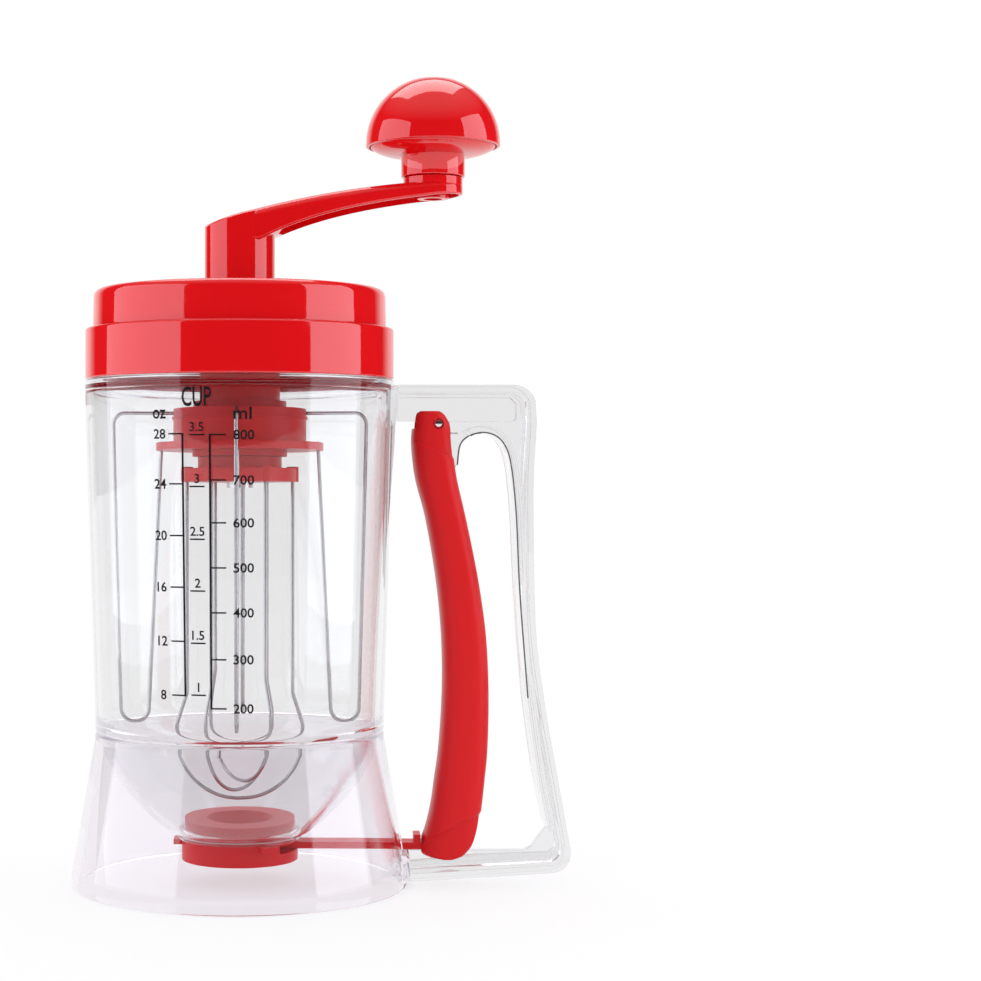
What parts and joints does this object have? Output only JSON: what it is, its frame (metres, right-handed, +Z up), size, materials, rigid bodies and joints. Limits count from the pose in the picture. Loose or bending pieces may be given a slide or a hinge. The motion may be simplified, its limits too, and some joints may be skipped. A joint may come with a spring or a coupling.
{
  "type": "batter dispenser",
  "caption": "Clear jug with a screw lid, a hand crank that turns wire whisks, and a squeeze lever that opens a valve under the jug.",
  "frame": {"origin": "centre of the foot ring, in the plane that the jug stands on", "axes": "+Z up the jug's axis; +X towards the handle, where the crank's knob also is at rest; +Y across"},
  "size_m": [0.1635, 0.1108, 0.2667],
  "materials": {
    "clear": "clear moulded plastic with a faint lavender tint, and a black printed scale on the jug",
    "red_gloss": "polished red plastic",
    "red_satin": "satin red plastic",
    "white_nylon": "plain natural nylon",
    "silicone": "soft pale silicone",
    "steel": "bright steel",
    "steel_wire": "polished stainless wire"
  },
  "bodies": {
    "jug": {"jug_body": "clear", "base_skirt": "clear", "handle_frame": "clear", "lever_pivot_pin": "steel", "valve_body": "red_satin", "outlet_seal": "silicone"},
    "slide": {"valve_slide": "red_satin"},
    "lever": {"dispensing_lever": "red_satin", "lever_spring": "steel"},
    "seal": {"lid_seal": "silicone"},
    "lid": {"screw_lid": "red_gloss", "lid_boss": "red_satin", "crank_bush": "white_nylon", "gear_carrier": "white_nylon", "carrier_screws": "steel", "planet_pins": "steel"},
    "crank": {"crank_arm": "red_gloss", "drive_shaft": "steel", "sun_gear": "white_nylon", "inner_hub": "red_satin", "hub_screw": "steel", "inner_wire_1": "steel_wire", "inner_wire_2": "steel_wire", "inner_wire_3": "steel_wire", "knob_screw": "steel"},
    "knob": {"crank_knob": "red_gloss", "knob_cap": "red_gloss"},
    "planet_1": {"planet_gear_1": "white_nylon"},
    "planet_2": {"planet_gear_2": "white_nylon"},
    "planet_3": {"planet_gear_3": "white_nylon"},
    "outer_whisk": {"gear_drum": "red_satin", "drum_flange": "red_satin", "outer_wire_1": "steel_wire", "outer_wire_2": "steel_wire", "outer_wire_3": "steel_wire", "outer_wire_4": "steel_wire"}
  },
  "joints": [
    {"name": "lid_lift", "type": "slide", "parent": "jug", "child": "seal", "axis": [0, 0, 1], "range_m": [0, 0.165]},
    {"name": "lid_turn", "type": "hinge", "parent": "seal", "child": "lid", "pos_m": [0, 0, 0.17], "axis": [0, 0, 1], "range_deg": [0, 90]},
    {"name": "crank_turn", "type": "hinge", "parent": "lid", "child": "crank", "pos_m": [0, 0, 0.2], "axis": [0, 0, 1], "continuous": true},
    {"name": "knob_spin", "type": "hinge", "parent": "crank", "child": "knob", "pos_m": [0.064, 0, 0.24], "axis": [0, 0, 1], "continuous": true},
    {"name": "planet_1_spin", "type": "hinge", "parent": "lid", "child": "planet_1", "pos_m": [0, 0.012, 0.15], "axis": [0, 0, 1], "continuous": true},
    {"name": "planet_2_spin", "type": "hinge", "parent": "lid", "child": "planet_2", "pos_m": [-0.01039, -0.006, 0.15], "axis": [0, 0, 1], "continuous": true},
    {"name": "planet_3_spin", "type": "hinge", "parent": "lid", "child": "planet_3", "pos_m": [0.01039, -0.006, 0.15], "axis": [0, 0, 1], "continuous": true},
    {"name": "outer_whisk_spin", "type": "hinge", "parent": "lid", "child": "outer_whisk", "pos_m": [0, 0, 0.15], "axis": [0, 0, 1], "continuous": true},
    {"name": "lever_swing", "type": "hinge", "parent": "jug", "child": "lever", "pos_m": [0.0654, 0, 0.1518], "axis": [0, -1, 0], "range_deg": [0, 7.2], "stiffness_Nm_per_rad": 0.6, "springref_deg": -11.46},
    {"name": "slide_travel", "type": "slide", "parent": "jug", "child": "slide", "axis": [1, 0, 0], "range_m": [0, 0.0175]}
  ],
  "couplings": [
    {"joint": "planet_1_spin", "follows": "crank_turn", "ratio": -1},
    {"joint": "planet_2_spin", "follows": "crank_turn", "ratio": -1},
    {"joint": "planet_3_spin", "follows": "crank_turn", "ratio": -1},
    {"joint": "outer_whisk_spin", "follows": "crank_turn", "ratio": -0.33333},
    {"joint": "slide_travel", "follows": "lever_swing", "m_per_rad": 0.139}
  ]
}
